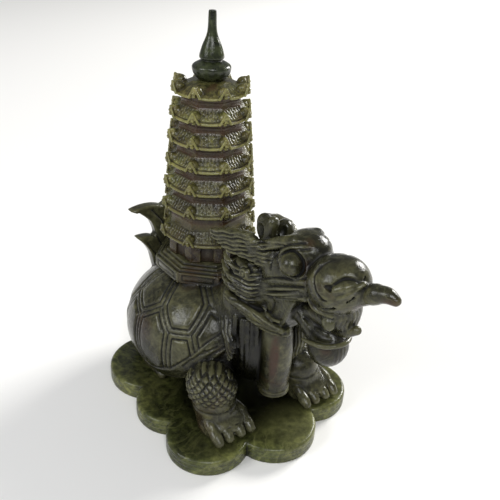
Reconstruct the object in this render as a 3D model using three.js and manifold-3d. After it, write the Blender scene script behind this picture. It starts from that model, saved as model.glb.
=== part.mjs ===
// A carved stone dragon turtle that carries a seven-tiered pagoda on its back, on a lobed slab.
// Millimetres, +Z up. The origin is the middle of the slab's underside, and the turtle faces -Y.
import * as THREE from "three";
import { mergeVertices } from "three/addons/utils/BufferGeometryUtils.js";
import Module from "manifold-3d";

const wasm = await Module();
wasm.setup();

// Slab: lobes round an oval, each a turned disc, mirrored about the YZ plane.
const SLAB_HEIGHT = 12;
const SLAB_EDGE_ROUND = 2.4;
const FRONT_LOBE = { x: 0, y: -55.5, radius: 29.3 };
const FRONT_CORNER_LOBE = { x: 42.6, y: -41, radius: 27.7 };
const SIDE_LOBE = { x: 44, y: 0, radius: 26.5 };
const REAR_CORNER_LOBE = { x: 37, y: 43, radius: 31.5 };
const REAR_LOBE = { x: 0, y: 57, radius: 29.3 };
const LOBE_SEGMENTS = 16;

// One piece rests on another with this gap.
const SEAT_GAP = 0.3;

// The figure's centreline lies this far to the side of the slab's.
const FIGURE_OFF_CENTRE = 2.5;

// Shell: a dome whose front is tilted up. Its crown is SHELL_CENTRE_HEIGHT + SHELL_RISE above the soles.
const SHELL_WIDTH = 121;
const SHELL_LENGTH = 128;
const SHELL_RISE = 48;
const SHELL_CENTRE_HEIGHT = 37;
const SHELL_CENTRE_Y = 25.6;
const SHELL_TILT = 10;
const SHELL_RIM_HEIGHT = 7;
const SCUTES = 10;
const SEAM_DEPTH = 1.6;

// Breast: a smooth upright column below the jaw.
const BREAST = { radius: 10.6, foot: 21, height: 60, y: -50 };

// Free form: the size of each part, and the place of its root. A foot's shift is a share of its leg's height.
const HEAD = { length: 90, rootY: -40, rootHeight: 90 };
const CHEST = { height: 108, rootY: -10 };
const FORELEG_HEIGHT = 46;
const NEAR_FORELEG = { x: -38, y: -33, footShift: [0.065, 0] };
const FAR_FORELEG = { x: 30, y: -28, footShift: [0.11, -0.183] };
const HINDLEG_HEIGHT = 33;
const HINDLEG = { x: 36, y: 50 };
const TAIL = { height: 116, rootHeight: 30 };

// Octagonal platform on the shell, with steps on top. Its top is PLATFORM_RISE above the shell's crown.
const PLATFORM_RADIUS = 37;
const PLATFORM_SIDE = 8;
const PLATFORM_STEPS = 3;
const PLATFORM_STEP_RISE = 1.5;
const PLATFORM_STEP_TREAD = 2.7;
const PLATFORM_RISE = 7.2;
const PLATFORM_Y = 30.5;
const PLATFORM_FOOT_RADIUS = 32;

// Tower: storeys of a wall under an eave, counted from the lowest. The ground storey is taller.
const TIERS = 7;
const TIER_PITCH = 15;
const GROUND_WALL = 13.5;
const GROUND_PITCH = 20;
const LOWEST_EAVE_RADIUS = 33.4;
const EAVE_TAPER = 1.38;
const EAVE_LIP = 1.3;
const EAVE_OVERHANG = 5.4;
const ROOF_RISE = 9.3;
const TOP_ROOF_RISE = 7.3;
const TOWER_TURN = 9.7;
const HORN_RADIUS = 4;
const HORN_THICKNESS = 4.2;
const HORN_REACH = 1;
const HORN_LIFT = 0.3;

// Turned finial, from its seat to its tip.
const FINIAL_HEIGHT = 40;
const FINIAL_BULB_RADIUS = 12.1;
const FINIAL_TIP_RADIUS = 2.4;
const FINIAL_SEGMENTS = 12;

const STONE_DARK = 0x45473a;
const STONE_SLAB = 0x5c6132;
const STONE_TOWER = 0x6f6c42;
const STONE_FINIAL = 0x34402c;

const OCTAGON = 8;
const HALF_SIDE = Math.PI / OCTAGON;

// A closed geometry as a solid: only positions are kept, and triangles that the poles flatten are dropped.
function solid(geometry) {
  const bare = geometry.index ? geometry.toNonIndexed() : geometry.clone();
  for (const name of Object.keys(bare.attributes)) {
    if (name !== "position") bare.deleteAttribute(name);
  }
  const merged = mergeVertices(bare, 1e-3);
  const index = merged.index.array;
  const kept = [];
  for (let i = 0; i < index.length; i += 3) {
    const [a, b, c] = [index[i], index[i + 1], index[i + 2]];
    if (a !== b && b !== c && c !== a) kept.push(a, b, c);
  }
  const vertProperties = new Float32Array(merged.attributes.position.array);
  const mesh = new wasm.Mesh({ numProp: 3, vertProperties, triVerts: new Uint32Array(kept) });
  return new wasm.Manifold(mesh);
}

// A solid as a geometry for a mesh.
function geometryOf(manifold) {
  const mesh = manifold.getMesh();
  const geometry = new THREE.BufferGeometry();
  geometry.setAttribute("position", new THREE.BufferAttribute(mesh.vertProperties, 3));
  geometry.setIndex(new THREE.BufferAttribute(mesh.triVerts, 1));
  geometry.computeVertexNormals();
  return geometry;
}

function join(parts) {
  return parts.reduce((whole, part) => whole.add(part));
}

const vector = (x, y, z) => new THREE.Vector3(x, y, z);
const degrees = THREE.MathUtils.degToRad;

// An ellipsoid, turned about X, then Y, then Z, in degrees.
function ellipsoid(centre, radii, turn = [0, 0, 0], across = 12, down = 8) {
  const geometry = new THREE.SphereGeometry(1, across, down);
  geometry.rotateX(Math.PI / 2);
  geometry.scale(...radii);
  geometry.rotateX(degrees(turn[0]));
  geometry.rotateY(degrees(turn[1]));
  geometry.rotateZ(degrees(turn[2]));
  geometry.translate(...centre);
  return solid(geometry);
}

// A bent, tapering limb with round ends through a list of places, each an [x, y, z, radius].
function limb(places, sides = 6, capRings = 1, stretches = places.length - 1) {
  const bends = new THREE.CatmullRomCurve3(places.map(([x, y, z]) => vector(x, y, z)));
  const frames = bends.computeFrenetFrames(stretches);
  const geometry = new THREE.CapsuleGeometry(1, stretches, capRings, sides, stretches);
  const position = geometry.attributes.position;
  for (let i = 0; i < position.count; i += 1) {
    const along = position.getY(i) + stretches / 2;
    const within = THREE.MathUtils.clamp(along, 0, stretches);
    const ring = Math.round(within);
    const share = (ring / stretches) * (places.length - 1);
    const before = Math.min(Math.floor(share), places.length - 2);
    const radius = THREE.MathUtils.lerp(places[before][3], places[before + 1][3], share - before);
    const place = bends.getPoint(ring / stretches);
    place.addScaledVector(frames.tangents[ring], (along - within) * radius);
    place.addScaledVector(frames.normals[ring], position.getX(i) * radius);
    place.addScaledVector(frames.binormals[ring], -position.getZ(i) * radius);
    position.setXYZ(i, place.x, place.y, place.z);
  }
  return solid(geometry);
}

// An upright turned body: its profile is a list of [radius, height] from the axis to the axis.
function turned(profile, segments, spin = 0) {
  const points = profile.map(([radius, height]) => new THREE.Vector2(radius, height));
  const geometry = new THREE.LatheGeometry(points, segments);
  geometry.rotateX(Math.PI / 2);
  geometry.rotateZ(spin);
  return solid(geometry);
}

// An outline drawn in the XZ plane, as thick as given along Y, with its middle at y.
function plate(outline, thickness, y, curveSteps = 3) {
  const geometry = new THREE.ExtrudeGeometry(outline, {
    depth: thickness,
    bevelEnabled: false,
    curveSegments: curveSteps,
  });
  geometry.rotateX(Math.PI / 2);
  geometry.translate(0, y + thickness / 2, 0);
  return solid(geometry);
}

// An outline of [y, z] places in the YZ plane, as wide as given to each side of x = 0.
function acrossPlate(outline, halfWidth) {
  const shape = new THREE.Shape(outline.map(([y, z]) => new THREE.Vector2(y, z)));
  const geometry = new THREE.ExtrudeGeometry(shape, { depth: halfWidth * 2, bevelEnabled: false });
  geometry.rotateX(Math.PI / 2);
  geometry.rotateZ(Math.PI / 2);
  geometry.translate(-halfWidth, 0, 0);
  return solid(geometry);
}

// A free-form part drawn at one size about one root, made at another size about its own root.
function sized(part, size, drawnSize, root, drawnRoot = [0, 0, 0]) {
  const share = size / drawnSize;
  return part.translate(drawnRoot.map((v) => -v)).scale([share, share, share]).translate(root);
}

function mirrored(part) {
  return part.mirror([1, 0, 0]);
}

function bothSides(part) {
  return part.add(mirrored(part));
}

// A block that cuts away what lies past a plane through (y, z) that rises towards -Y at a slope in degrees.
function cutter(y, z, slope, size) {
  const geometry = new THREE.BoxGeometry(size, size, size);
  geometry.translate(0, 0, -size / 2);
  geometry.rotateX(degrees(-slope));
  geometry.translate(0, y, z);
  return solid(geometry);
}

// Slab

function lobe({ x, y, radius }) {
  const foot = SLAB_EDGE_ROUND / 2;
  const profile = [
    [0, 0],
    [radius - foot, 0],
    [radius, foot],
    [radius, SLAB_HEIGHT - SLAB_EDGE_ROUND],
    [radius - SLAB_EDGE_ROUND, SLAB_HEIGHT],
    [0, SLAB_HEIGHT],
  ];
  return turned(profile, LOBE_SEGMENTS).translate([x, y, 0]);
}

function slab() {
  const sideLobes = [FRONT_CORNER_LOBE, SIDE_LOBE, REAR_CORNER_LOBE];
  const corners = [FRONT_LOBE, ...sideLobes, REAR_LOBE].map(({ x, y }) => [x, y]);
  const left = sideLobes.toReversed().map(({ x, y }) => [-x, y]);
  const outline = new THREE.Shape([...corners, ...left].map(([x, y]) => new THREE.Vector2(x, y)));
  const middle = new THREE.ExtrudeGeometry(outline, { depth: SLAB_HEIGHT, bevelEnabled: false });
  const pairs = sideLobes.map((place) => bothSides(lobe(place)));
  return join([solid(middle), lobe(FRONT_LOBE), lobe(REAR_LOBE), ...pairs]);
}

// Shell: a tilted dome. Its lower edge is level behind and arches up over the forelegs in straight cuts.

const shellCentre = [0, SHELL_CENTRE_Y, SHELL_CENTRE_HEIGHT];
const shellRadii = [SHELL_WIDTH / 2, SHELL_LENGTH / 2, SHELL_RISE];
const ARCH = [
  { y: SHELL_LENGTH * 0.047, z: SHELL_RISE * 0.285, slope: 26.6 },
  { y: -SHELL_LENGTH * 0.078, z: SHELL_RISE * 0.452, slope: 50.2 },
  { y: -SHELL_LENGTH * 0.195, z: SHELL_RISE * 0.827, slope: 64.7 },
];

// A place on the shell: azimuth from -Y towards +X, and height, in degrees, in the tilted dome's own frame.
function onShell(azimuth, height) {
  const [a, h] = [degrees(azimuth), degrees(height)];
  const [rx, ry, rz] = shellRadii;
  const place = vector(
    rx * Math.sin(a) * Math.cos(h),
    -ry * Math.cos(a) * Math.cos(h),
    rz * Math.sin(h),
  );
  place.applyAxisAngle(vector(1, 0, 0), degrees(-SHELL_TILT));
  return place.add(vector(...shellCentre));
}

// A straight V-shaped seam in the shell between two places on it.
function seam(from, to) {
  const start = onShell(...from);
  const end = onShell(...to);
  const middle = start.clone().add(end).multiplyScalar(0.5);
  const out = middle.clone().sub(vector(...shellCentre));
  const along = end.clone().sub(start);
  const length = along.length() + SEAM_DEPTH;
  along.normalize();
  const across = new THREE.Vector3().crossVectors(along, out).normalize();
  const up = new THREE.Vector3().crossVectors(across, along);
  const cutRadius = SEAM_DEPTH * 3;
  const geometry = new THREE.CylinderGeometry(cutRadius, cutRadius, length, 3);
  geometry.rotateY(Math.PI);
  geometry.applyMatrix4(new THREE.Matrix4().makeBasis(across, along, up));
  const sunk = middle.clone().addScaledVector(up, cutRadius - SEAM_DEPTH);
  geometry.translate(sunk.x, sunk.y, sunk.z);
  return solid(geometry);
}

// The seams of the scutes, in a ring round the platform. The second and fourth on each side have a level
// lower edge, and the others a point. Heights in degrees: where two scutes part, a level edge and a point.
const SCUTE_PART = 36;
const SCUTE_EDGE = 17;
const SCUTE_POINT = 24;

function seams() {
  const turn = 360 / SCUTES;
  const foot = turn * 0.22;
  const grooves = [];
  for (let i = 0; i < SCUTES; i += 1) {
    const middle = turn * (i + 0.5);
    const sides = [middle - turn / 2, middle + turn / 2];
    const fromBack = Math.abs(middle - 180) / turn;
    const level = fromBack === 1.5 || fromBack === 3.5;
    grooves.push(seam([sides[0], SCUTE_PART], [sides[0], SCUTE_PART + 22]));
    if (level) grooves.push(seam([middle - foot, SCUTE_EDGE], [middle + foot, SCUTE_EDGE]));
    else grooves.push(seam([middle, SCUTE_POINT], [middle, 0]));
    for (const side of sides) {
      const corner = level ? [middle + Math.sign(side - middle) * foot, SCUTE_EDGE] : [middle, SCUTE_POINT];
      grooves.push(seam(corner, [side, SCUTE_PART]));
    }
  }
  return join(grooves);
}

function shell() {
  const dome = ellipsoid(shellCentre, shellRadii, [-SHELL_TILT, 0, 0], 20, 9);
  const size = SHELL_LENGTH * 2;
  const below = cutter(0, SHELL_RIM_HEIGHT, 0, size);
  const cuts = ARCH.map(({ y, z, slope }) => cutter(y, z, slope, size));
  return dome.subtract(join([below, ...cuts])).subtract(seams());
}

// Body under the shell.
function trunk() {
  const [rx, ry, rz] = shellRadii;
  const whole = ellipsoid([0, SHELL_CENTRE_Y, rz * 0.62], [rx * 0.86, ry * 0.86, rz * 0.6], [0, 0, 0], 14, 6);
  return whole.subtract(cutter(0, rz * 0.1, 0, SHELL_LENGTH * 2));
}

// Shoulders, chest and neck.
function chest() {
  const shoulders = ellipsoid([0, -12, 44], [38, 22, 28], [-30, 0, 0], 10, 6);
  const front = ellipsoid([0, -31, 50], [21, 19, 32], [0, 0, 0], 10, 6);
  const neck = limb([[0, -10, 60, 25], [0, -34, 92, 19], [0, -50, 108, 13]], 8, 1);
  return sized(join([shoulders, front, neck]), CHEST.height, 108, [0, CHEST.rootY, 0], [0, -10, 0]);
}

// The smooth round breast below the jaw, with a rim at its foot.
function breast() {
  const { radius, foot, height, y } = BREAST;
  const profile = [
    [0, foot],
    [radius * 0.8, foot],
    [radius, foot + height * 0.03],
    [radius, foot + height * 0.07],
    [radius * 0.93, foot + height * 0.08],
    [radius * 1.02, foot + height * 0.47],
    [radius * 0.98, foot + height * 0.9],
    [0, foot + height],
  ];
  return turned(profile, 12).translate([0, y, 0]);
}

// Foreleg, drawn 46 high about the middle of its thigh: a broad thigh, a shank and a wedge-shaped foot.
function foreleg(place) {
  const [footX, footY] = place.footShift.map((share) => share * 46);
  const thigh = ellipsoid([0, 0, 30], [16.5, 18, 15.5], [0, 0, 0], 10, 6);
  const shank = limb([[0, -3 + footY, 22, 15], [footX / 2, -5 + footY, 9, 14.5]], 7, 1);
  const instep = ellipsoid([footX, -10 + footY, 6], [17, 14, 10], [0, 0, 0], 10, 5);
  const toes = [-12.4, -4.6, 4.3, 12].map((spread) => {
    const x = footX + spread;
    return limb([[x, footY - 14, 7, 4.6], [x, footY - 21, 4.8, 4], [x, footY - 24.6, 1.6, 2.2]], 5);
  });
  const ground = cutter(0, 0, 0, SHELL_LENGTH * 2);
  return sized(join([thigh, shank, instep, ...toes]).subtract(ground), FORELEG_HEIGHT, 46, [place.x, place.y, 0]);
}

// Hind leg, low under the shell.
function hindleg() {
  const haunch = ellipsoid([0, 0, 15], [15, 20, 17], [0, 0, 0], 8, 5);
  const foot = ellipsoid([0, -14, 5], [13, 16, 8], [0, 0, 0], 8, 4);
  const toes = [-8, 0, 8].map((spread) => limb([[spread, -20, 5, 4.6], [spread, -29, 2.4, 3]], 4));
  const ground = cutter(0, 0, 0, SHELL_LENGTH * 2);
  const leg = join([haunch, foot, ...toes]).subtract(ground);
  return sized(leg, HINDLEG_HEIGHT, 33, [HINDLEG.x, HINDLEG.y, 0]);
}

// Tail, drawn 116 high and 8 thick: a flame-edged fan that stands close behind the platform.
function tail() {
  const y = PLATFORM_Y + PLATFORM_RADIUS + TAIL.height * 0.026;
  const fan = new THREE.Shape();
  fan.moveTo(0, 44);
  fan.lineTo(-20, 50);
  fan.lineTo(-25, 74);
  fan.quadraticCurveTo(-28, 82, -36, 90);
  fan.quadraticCurveTo(-27, 91, -22, 88);
  fan.quadraticCurveTo(-20, 102, -40, 112);
  fan.quadraticCurveTo(-26, 116, -15, 111);
  fan.quadraticCurveTo(-6, 116, 0, 114);
  fan.closePath();
  const half = plate(fan, 8, 0);
  const root = limb([[0, 9, 40, 12], [0, 3, 62, 9], [0, 1, 98, 5]]);
  const drawn = join([half, mirrored(half), root]);
  return sized(drawn, TAIL.height, 116, [0, y, TAIL.rootHeight], [0, 0, 30]);
}

// Head, pitched up at the nose. It is drawn 90 long.

function skull() {
  const back = ellipsoid([0, -54, 118], [15, 18, 17], [0, 0, 0], 10, 6);
  const bridge = limb([[0, -62, 124, 13], [0, -88, 125, 12]], 8);
  const brow = ellipsoid([0.5, -70, 137.5], [13.2, 14.2, 10.7], [0, 0, 0], 10, 6);
  return join([back, bridge, brow]);
}

// The near eye bulges from round lids; the far one is smaller and lower.
function eyes() {
  const lids = ellipsoid([-9, -69, 132], [7, 11, 9.5], [0, 0, 0], 8, 5);
  const near = ellipsoid([-14, -72.5, 132.8], [7, 7, 7], [0, 0, 0], 8, 6);
  const far = ellipsoid([9.5, -71, 127.5], [6.2, 6.2, 6.2], [0, 0, 0], 8, 4);
  return join([lids, near, far]);
}

// The upper jaw with three rolled bars on each side, and the flat side of the open jaw below it.
function cheek() {
  const upper = acrossPlate([[-42, 110], [-82, 127], [-84, 116], [-42, 96]], 11.8);
  const corners = [[-34, 95], [-42, 99], [-80, 117], [-72.5, 102], [-65, 81], [-46, 80], [-34, 82]];
  const side = acrossPlate(corners, 12);
  const bars = [0, 1, 2].map((row) => {
    const drop = row * 5;
    return limb([[-11.6, -42, 106.5 - drop, 2.8], [-10.6, -83, 126 - drop, 3]], 5);
  });
  return join([upper, side, bothSides(join(bars))]);
}

// The nose with its ball, the lip that hangs below it, askew, and the whisker that curls up in front.
function snout() {
  const nose = ellipsoid([0.5, -95.5, 127.4], [17.4, 18, 17.2], [0, 0, 0], 12, 7);
  const ball = ellipsoid([2, -99.5, 131], [14, 15, 14.4], [0, 0, 0], 10, 6);
  const lip = ellipsoid([2.5, -97.5, 113.5], [13, 12, 15.5], [0, -14, 0], 10, 6);
  const tip = [8, -129.4, 133, 3.2];
  const whisker = limb([[3, -100, 121, 6.8], [5.2, -112, 128, 6.6], [6.4, -122.5, 133.6, 5], tip], 6);
  return join([nose, ball, lip, whisker]);
}

function jaw() {
  const bone = limb([[0, -56, 97, 8], [0, -72, 96, 7.4], [0, -82, 92, 8], [0, -92, 88, 9]], 7);
  const chin = ellipsoid([0.5, -94, 85.7], [12.5, 12.2, 13.4], [0, 0, 0], 10, 7);
  const tongue = limb([[0, -74, 100, 5], [0, -92, 103, 5.4], [0, -103, 99.5, 4], [0, -113, 106.5, 2.2]], 5);
  return join([bone, chin, tongue]);
}

// Two blunt horns on short stems, the far one lower.
function horns() {
  const nearStem = limb([[-5, -43, 126, 5], [-6, -41, 136, 5]], 5);
  const farStem = limb([[5, -44, 122, 5], [6, -42, 132, 5]], 5);
  const near = ellipsoid([-6, -40.5, 139.2], [6, 8, 9.6], [0, 0, 0], 8, 5);
  const far = ellipsoid([6, -42, 135], [6.2, 6.6, 8], [0, 0, 0], 7, 5);
  return join([nearStem, farStem, near, far]);
}

// Leaf-shaped ear, the mass of the mane behind the jaw, the strap of the beard and a flame on the shoulder.
function mane() {
  const corners = [[-3, 126], [-19, 133], [-36, 136], [-52, 130], [-52, 119], [-43, 117], [-20, 116], [-5, 121]];
  const upright = acrossPlate(corners.map(([y, z]) => [y + 30, z]), 3.4);
  const leaf = upright.rotate([0, 0, 9.6]).translate([-15.8, -30, 0]);
  const mass = ellipsoid([-13, -34, 102], [10, 15, 17], [0, 0, 0], 8, 5);
  const strap = limb([[-20, -25, 88.5, 4.8], [-19, -34, 89, 6.4], [-13, -55, 83, 6.4], [-9, -67, 82, 4.2]], 5);
  const flame = limb([[-19, -24, 66, 9], [-25, -34, 58, 6], [-29, -39, 47, 2]], 5);
  return bothSides(join([leaf, mass, strap, flame]));
}

function head() {
  const drawn = join([skull(), eyes(), cheek(), snout(), jaw(), horns(), mane()]);
  return sized(drawn, HEAD.length, 90, [0, HEAD.rootY, HEAD.rootHeight], [0, -40, 90]);
}

const platformTop = SHELL_CENTRE_HEIGHT + SHELL_RISE + PLATFORM_RISE;

// Platform, with steps on top and a narrower foot that sinks into the shell.
function platform() {
  const rimZ = platformTop - PLATFORM_STEPS * PLATFORM_STEP_RISE;
  const bottom = rimZ - PLATFORM_SIDE;
  const profile = [
    [0, bottom - 26],
    [PLATFORM_FOOT_RADIUS, bottom - 26],
    [PLATFORM_FOOT_RADIUS, bottom],
    [PLATFORM_RADIUS, bottom],
    [PLATFORM_RADIUS, rimZ],
  ];
  for (let step = 1; step <= PLATFORM_STEPS; step += 1) {
    const radius = PLATFORM_RADIUS - step * PLATFORM_STEP_TREAD;
    profile.push([radius, rimZ + (step - 1) * PLATFORM_STEP_RISE]);
    profile.push([radius, rimZ + step * PLATFORM_STEP_RISE]);
  }
  profile.push([0, platformTop]);
  return turned(profile, OCTAGON, HALF_SIDE).translate([0, PLATFORM_Y, 0]);
}

function dragonTurtle() {
  const legs = [foreleg(NEAR_FORELEG), foreleg(FAR_FORELEG), bothSides(hindleg())];
  return join([shell(), trunk(), chest(), breast(), ...legs, tail(), head(), platform()]);
}

// Tower

function eaveRadius(tier) {
  return LOWEST_EAVE_RADIUS - EAVE_TAPER * tier;
}

// The height of an eave's lip above the tower's foot.
function eaveHeight(tier) {
  return tier === 0 ? GROUND_WALL : GROUND_WALL + GROUND_PITCH + TIER_PITCH * (tier - 1);
}

const towerTop = eaveHeight(TIERS - 1) + TOP_ROOF_RISE;

function towerCore() {
  const foot = eaveRadius(0) - EAVE_OVERHANG;
  const profile = [[0, 0], [foot, 0]];
  for (let tier = 0; tier < TIERS; tier += 1) {
    const eave = eaveHeight(tier);
    const radius = eaveRadius(tier);
    const last = tier + 1 === TIERS;
    const rise = last ? TOP_ROOF_RISE : ROOF_RISE;
    const next = last ? FINIAL_BULB_RADIUS : eaveRadius(tier + 1) - EAVE_OVERHANG;
    profile.push([radius - EAVE_OVERHANG, eave]);
    profile.push([radius, eave]);
    profile.push([radius, eave + EAVE_LIP]);
    profile.push([next, eave + rise]);
  }
  profile.push([0, towerTop]);
  return turned(profile, OCTAGON, HALF_SIDE);
}

// The rounded horn that stands on each corner of an eave.
function cornerHorn(radius, eave, corner) {
  const geometry = new THREE.CylinderGeometry(HORN_RADIUS, HORN_RADIUS, HORN_THICKNESS, 6);
  geometry.translate(radius + HORN_REACH - HORN_RADIUS, 0, eave + HORN_LIFT + HORN_RADIUS);
  geometry.rotateZ(HALF_SIDE + (corner * 2 * Math.PI) / OCTAGON);
  return solid(geometry);
}

function tower() {
  const parts = [towerCore()];
  for (let tier = 0; tier < TIERS; tier += 1) {
    for (let corner = 0; corner < OCTAGON; corner += 1) {
      parts.push(cornerHorn(eaveRadius(tier), eaveHeight(tier), corner));
    }
  }
  return join(parts);
}

// Finial: a bulb, a bell above it and a long neck.
function finial() {
  const bulb = FINIAL_BULB_RADIUS;
  const tip = FINIAL_TIP_RADIUS;
  const h = FINIAL_HEIGHT;
  const profile = [
    [0, 0],
    [bulb * 0.68, 0],
    [bulb * 0.9, h * 0.07],
    [bulb, h * 0.16],
    [bulb * 0.93, h * 0.22],
    [bulb * 0.58, h * 0.28],
    [bulb * 0.54, h * 0.3],
    [bulb * 0.64, h * 0.335],
    [bulb * 0.5, h * 0.49],
    [bulb * 0.25, h * 0.69],
    [tip, h * 0.97],
    [tip * 0.7, h],
    [0, h],
  ];
  return turned(profile, FINIAL_SEGMENTS);
}

// Scene graph

function piece(name, manifold, colour, roughness) {
  const look = { color: colour, roughness, metalness: 0, flatShading: true };
  const material = new THREE.MeshStandardMaterial(look);
  const mesh = new THREE.Mesh(geometryOf(manifold), material);
  mesh.name = name;
  return mesh;
}

const statue = new THREE.Group();
statue.add(piece("lobed_base", slab(), STONE_SLAB, 0.3));

const figure = new THREE.Group();
figure.position.set(FIGURE_OFF_CENTRE, 0, SLAB_HEIGHT + SEAT_GAP);
figure.add(piece("dragon_turtle", dragonTurtle(), STONE_DARK, 0.35));
statue.add(figure);

const pagoda = new THREE.Group();
pagoda.position.set(0, PLATFORM_Y, platformTop + SEAT_GAP);
pagoda.rotation.z = degrees(TOWER_TURN);
pagoda.add(piece("pagoda_tower", tower(), STONE_TOWER, 0.35));
const spire = piece("tower_finial", finial(), STONE_FINIAL, 0.25);
spire.position.z = towerTop + SEAT_GAP;
pagoda.add(spire);
figure.add(pagoda);

export default statue;
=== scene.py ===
"""Carved stone dragon turtle with a pagoda: the finely carved surfaces, the stone and the studio."""

import math

import bpy
import numpy as np
import openvdb
from mathutils import Euler, Matrix, Vector


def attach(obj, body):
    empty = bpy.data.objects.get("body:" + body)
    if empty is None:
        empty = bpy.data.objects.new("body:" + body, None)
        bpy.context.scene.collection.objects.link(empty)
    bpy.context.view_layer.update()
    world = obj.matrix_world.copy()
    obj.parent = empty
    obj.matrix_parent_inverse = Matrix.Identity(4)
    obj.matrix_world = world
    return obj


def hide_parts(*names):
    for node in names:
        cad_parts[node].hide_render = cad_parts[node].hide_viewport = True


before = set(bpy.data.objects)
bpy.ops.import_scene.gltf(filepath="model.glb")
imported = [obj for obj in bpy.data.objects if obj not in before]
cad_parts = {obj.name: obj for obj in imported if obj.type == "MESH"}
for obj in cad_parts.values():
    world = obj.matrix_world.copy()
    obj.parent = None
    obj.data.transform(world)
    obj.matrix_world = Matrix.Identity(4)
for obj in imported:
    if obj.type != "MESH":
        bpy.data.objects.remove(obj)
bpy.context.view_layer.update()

# Places of the pieces in the row frame, in millimetres as everywhere before the meshes are made
SLAB_HEIGHT = 12.0
SEAT_GAP = 0.3
FIGURE_OFF_CENTRE = 2.5
FIGURE_ORIGIN = np.array([FIGURE_OFF_CENTRE, 0.0, SLAB_HEIGHT + SEAT_GAP])
PLATFORM_Y = 30.5
PLATFORM_TOP = 92.2
TOWER_TURN = math.radians(9.7)
TOWER_ORIGIN = FIGURE_ORIGIN + [0, PLATFORM_Y, PLATFORM_TOP + SEAT_GAP]
METRE = 1000

# Distances are only kept this far from a surface
FAR = 6.0

# The size of a cell of each block
SLAB_CELL = 0.6
TURTLE_CELL = 0.65
TOWER_CELL = 0.5
FINIAL_CELL = 0.32

# The most triangles of a piece, and of the plain slab
MOST_TRIANGLES = 196000
SLAB_TRIANGLES = 190000


# Distance fields

def smooth_min(a, b, blend):
    """The nearer of two distances, rounded over where they are within the blend of each other."""
    if blend <= 0:
        return np.minimum(a, b)
    h = np.maximum(blend - np.abs(a - b), 0) / blend
    return np.minimum(a, b) - h * h * blend / 4


def bump(distance, width):
    """1 on a line and 0 from its width outwards."""
    t = np.clip(1 - np.abs(distance) / width, 0, 1)
    return t * t * (3 - 2 * t)


def step(value, low, high):
    """0 at low and beyond, 1 at high and beyond, and smooth between. Low may be the larger."""
    t = np.clip((value - low) / (high - low), 0, 1)
    return t * t * (3 - 2 * t)


def wave(phase, pitch):
    """0 at every whole pitch and 1 half-way between."""
    return 0.5 - 0.5 * np.cos(2 * math.pi * phase / pitch)


def rounded(a, b, rounding):
    """The body inside both of two distances, with a rounded edge where they meet."""
    a, b = a + rounding, b + rounding
    outside = np.sqrt(np.maximum(a, 0) ** 2 + np.maximum(b, 0) ** 2)
    return outside + np.minimum(np.maximum(a, b), 0) - rounding


class Carving:
    """A block of distances, in millimetres, that shapes are added to and cut from."""

    def __init__(self, low, high, cell):
        self.low = np.array(low, float)
        self.cell = cell
        self.counts = np.ceil((np.array(high) - self.low) / cell).astype(int) + 1
        self.field = np.full(self.counts, FAR, np.float32)

    def cells(self, low, high, spare=0):
        """The first cell of a box, and the one after its last cell and some spare ones."""
        first = np.floor((low - self.low) / self.cell).astype(int)
        last = np.ceil((high - self.low) / self.cell).astype(int) + spare
        return np.clip(first, 0, self.counts), np.clip(last, 0, self.counts)

    def window(self, low, high, margin):
        """The slices over a box with a margin, and the places of their cells along X, Y and Z."""
        first, last = self.cells(np.array(low) - margin, np.array(high) + margin, 1)
        part = tuple(slice(a, b) for a, b in zip(first, last))
        x, y, z = (
            (start + self.cell * np.arange(a, b)).astype(np.float32)
            for start, a, b in zip(self.low, first, last)
        )
        return part, x[:, None, None], y[None, :, None], z[None, None, :]

    def block(self, low, high):
        """An empty block on the same cells over part of this one."""
        first, last = self.cells(low, high)
        made = Carving(self.low + first * self.cell, self.low + first * self.cell, self.cell)
        made.counts = last - first
        made.field = np.full(made.counts, FAR, np.float32)
        made.first = first
        return made

    def join(self, block, blend):
        """Adds a block made by block()."""
        place = tuple(slice(a, a + n) for a, n in zip(block.first, block.counts))
        self.field[place] = smooth_min(self.field[place], block.field, blend)

    def places(self):
        """The places of all cells along X, Y and Z."""
        return self.window(self.low, self.low + self.cell * (self.counts - 1), 0)[1:]

    def add(self, shape, blend=1.0, sign=1):
        """Adds a shape, or cuts it away where the sign is -1."""
        part, x, y, z = self.window(shape.low, shape.high, FAR)
        self.field[part] = sign * smooth_min(sign * self.field[part], shape.distance(x, y, z), blend)

    def cut(self, shape, blend=0.6):
        self.add(shape, blend, -1)

    def rod(self, places, blend):
        self.add(limb(places), blend)

    def ball(self, centre, radii, blend, turn=(0, 0, 0)):
        self.add(ellipsoid(centre, radii, turn), blend)

    def relief(self, low, high, depth):
        """Sinks the surface inside a box by depth(x, y, z)."""
        part, x, y, z = self.window(low, high, 0)
        self.field[part] += depth(x, y, z)


class Shape:
    """A distance function and the box that its surface lies in."""

    def __init__(self, low, high, distance):
        self.low = np.array(low, float)
        self.high = np.array(high, float)
        self.distance = distance

    def carved(self, depth):
        """The same shape with its surface sunk by depth(x, y, z)."""
        whole = self.distance
        return Shape(self.low, self.high, lambda x, y, z: whole(x, y, z) + depth(x, y, z))

    def mirrored(self):
        """The same shape on the other side of x = 0."""
        whole = self.distance
        low = [-self.high[0], *self.low[1:]]
        high = [-self.low[0], *self.high[1:]]
        return Shape(low, high, lambda x, y, z: whole(-x, y, z))


def turn_matrix(degrees):
    """Turned about X, then Y, then Z."""
    return np.array(Euler([math.radians(v) for v in degrees]).to_matrix())


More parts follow.
